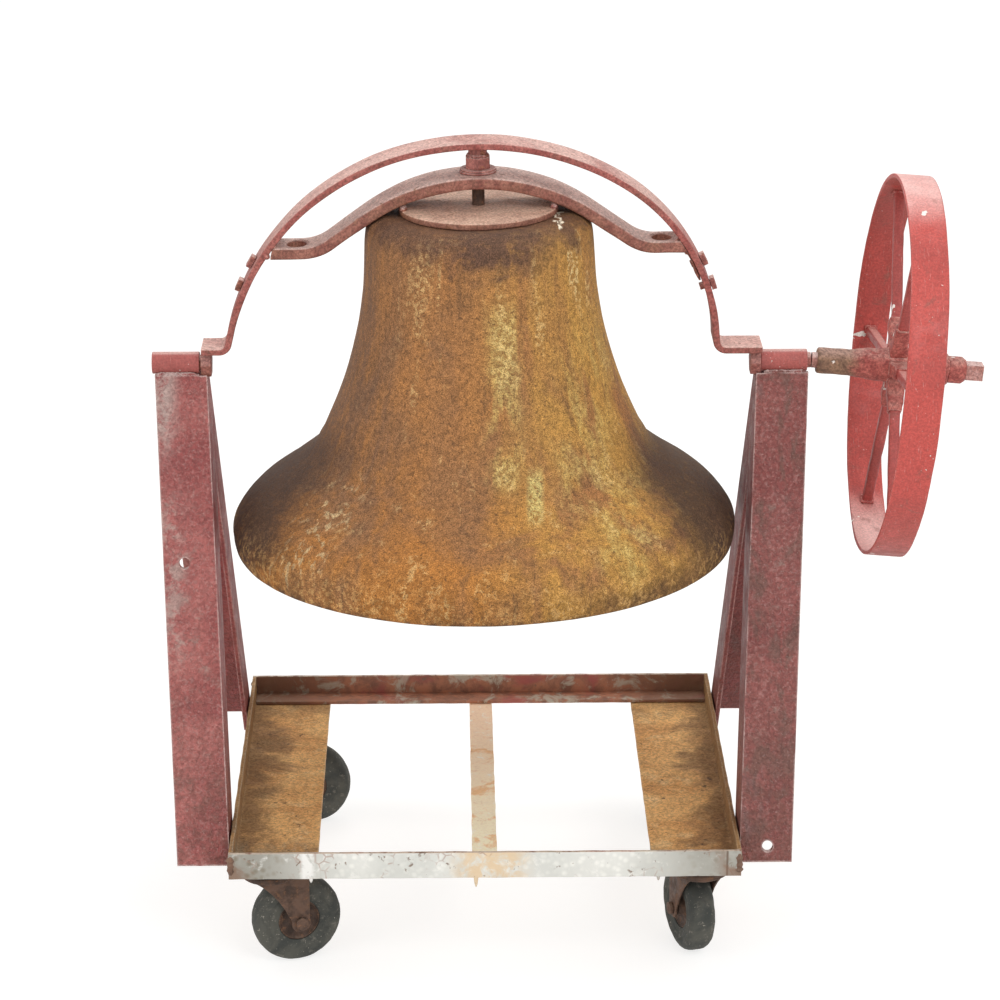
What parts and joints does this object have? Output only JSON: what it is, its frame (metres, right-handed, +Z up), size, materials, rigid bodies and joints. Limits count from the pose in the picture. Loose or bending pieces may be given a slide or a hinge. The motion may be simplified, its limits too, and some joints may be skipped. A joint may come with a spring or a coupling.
{
  "type": "fire alarm bell",
  "caption": "Large hand-rung fire bell with yoke, strap arch and rope wheel, on an angle-iron stand with a low tray and swivel casters.",
  "frame": {"origin": "on the floor, at the middle of the overall length and depth", "axes": "+X along the swing axis towards the rope wheel, +Y to the back, +Z up"},
  "size_m": [1.011, 0.6172, 0.9795],
  "materials": {
    "bell_rust": "golden-brown rust and worn paint, matt, with pale streaks",
    "worn_red_paint": "dull red paint worn to pinkish grey on faces that look up",
    "bright_red_paint": "coral-red paint with white chips, satin",
    "stand_paint": "thick crimson paint over pitted steel, satin, rubbed along its edges",
    "crown_paint": "brown-red paint with rust, matt",
    "deck_rust": "orange-brown rust with dark stains, matt",
    "galvanised": "weathered galvanised steel with rust specks",
    "caster_rubber": "dusty dark grey rubber",
    "brown_iron": "dark brown rust, matt"
  },
  "bodies": {
    "stand": {"caster_plate_front_left": "brown_iron", "caster_plate_front_right": "brown_iron", "caster_plate_rear_left": "brown_iron", "caster_plate_rear_right": "brown_iron", "centre_bar": "deck_rust", "front_rail": "galvanised", "leg_front_left": "stand_paint", "leg_front_right": "stand_paint", "leg_rear_left": "stand_paint", "leg_rear_right": "stand_paint", "rear_rail": "galvanised", "side_deck_left": "deck_rust", "side_deck_right": "deck_rust", "sleeve_left": "stand_paint", "sleeve_right": "stand_paint"},
    "swing": {"arch_strap": "worn_red_paint", "arch_stub": "worn_red_paint", "bell": "bell_rust", "centre_bolt": "worn_red_paint", "centre_nut": "worn_red_paint", "centre_washer": "worn_red_paint", "clapper_hanger": "brown_iron", "clapper_pin": "brown_iron", "crank_shaft": "worn_red_paint", "crown_plate": "crown_paint", "gudgeon_left": "worn_red_paint", "gudgeon_right": "worn_red_paint", "hanger_nut": "brown_iron", "hub_collar": "worn_red_paint", "spoke_1": "bright_red_paint", "spoke_2": "bright_red_paint", "spoke_3": "bright_red_paint", "spoke_4": "bright_red_paint", "spoke_5": "bright_red_paint", "spoke_6": "bright_red_paint", "strap_bolt_left_lower": "worn_red_paint", "strap_bolt_left_upper": "worn_red_paint", "strap_bolt_right_lower": "worn_red_paint", "strap_bolt_right_upper": "worn_red_paint", "wheel_hub": "worn_red_paint", "wheel_rim": "bright_red_paint", "yoke": "worn_red_paint"},
    "clapper": {"clapper": "brown_iron"},
    "caster_front_left": {"caster_fork_front_left": "brown_iron", "caster_axle_front_left": "brown_iron"},
    "wheel_front_left": {"caster_tyre_front_left": "caster_rubber", "caster_core_front_left": "brown_iron"},
    "caster_front_right": {"caster_fork_front_right": "brown_iron", "caster_axle_front_right": "brown_iron"},
    "wheel_front_right": {"caster_tyre_front_right": "caster_rubber", "caster_core_front_right": "brown_iron"},
    "caster_rear_left": {"caster_fork_rear_left": "brown_iron", "caster_axle_rear_left": "brown_iron"},
    "wheel_rear_left": {"caster_tyre_rear_left": "caster_rubber", "caster_core_rear_left": "brown_iron"},
    "caster_rear_right": {"caster_fork_rear_right": "brown_iron", "caster_axle_rear_right": "brown_iron"},
    "wheel_rear_right": {"caster_tyre_rear_right": "caster_rubber", "caster_core_rear_right": "brown_iron"}
  },
  "joints": [
    {"name": "bell_swing", "type": "hinge", "parent": "stand", "child": "swing", "pos_m": [-0.10555, 0, 0.703], "axis": [1, 0, 0], "range_deg": [-60, 60]},
    {"name": "clapper_swing", "type": "hinge", "parent": "swing", "child": "clapper", "pos_m": [-0.1084, 0, 0.84098], "axis": [0.9999, 0, 0.0148], "range_deg": [-32, 32]},
    {"name": "swivel_front_left", "type": "hinge", "parent": "stand", "child": "caster_front_left", "pos_m": [-0.36755, -0.207, 0.123], "axis": [0, 0, 1], "continuous": true},
    {"name": "roll_front_left", "type": "hinge", "parent": "caster_front_left", "child": "wheel_front_left", "pos_m": [-0.33654, -0.19571, 0.055], "axis": [-0.342, 0.9397, 0], "continuous": true},
    {"name": "swivel_front_right", "type": "hinge", "parent": "stand", "child": "caster_front_right", "pos_m": [0.15645, -0.207, 0.123], "axis": [0, 0, 1], "continuous": true},
    {"name": "roll_front_right", "type": "hinge", "parent": "caster_front_right", "child": "wheel_front_right", "pos_m": [0.1468, -0.17544, 0.055], "axis": [-0.9563, -0.2924, 0], "continuous": true},
    {"name": "swivel_rear_left", "type": "hinge", "parent": "stand", "child": "caster_rear_left", "pos_m": [-0.36755, 0.207, 0.123], "axis": [0, 0, 1], "continuous": true},
    {"name": "roll_rear_left", "type": "hinge", "parent": "caster_rear_left", "child": "wheel_rear_left", "pos_m": [-0.33505, 0.20127, 0.055], "axis": [0.1736, 0.9848, 0], "continuous": true},
    {"name": "swivel_rear_right", "type": "hinge", "parent": "stand", "child": "caster_rear_right", "pos_m": [0.15645, 0.207, 0.123], "axis": [0, 0, 1], "continuous": true},
    {"name": "roll_rear_right", "type": "hinge", "parent": "caster_rear_right", "child": "wheel_rear_right", "pos_m": [0.14409, 0.1764, 0.055], "axis": [0.9272, -0.3746, 0], "continuous": true}
  ]
}
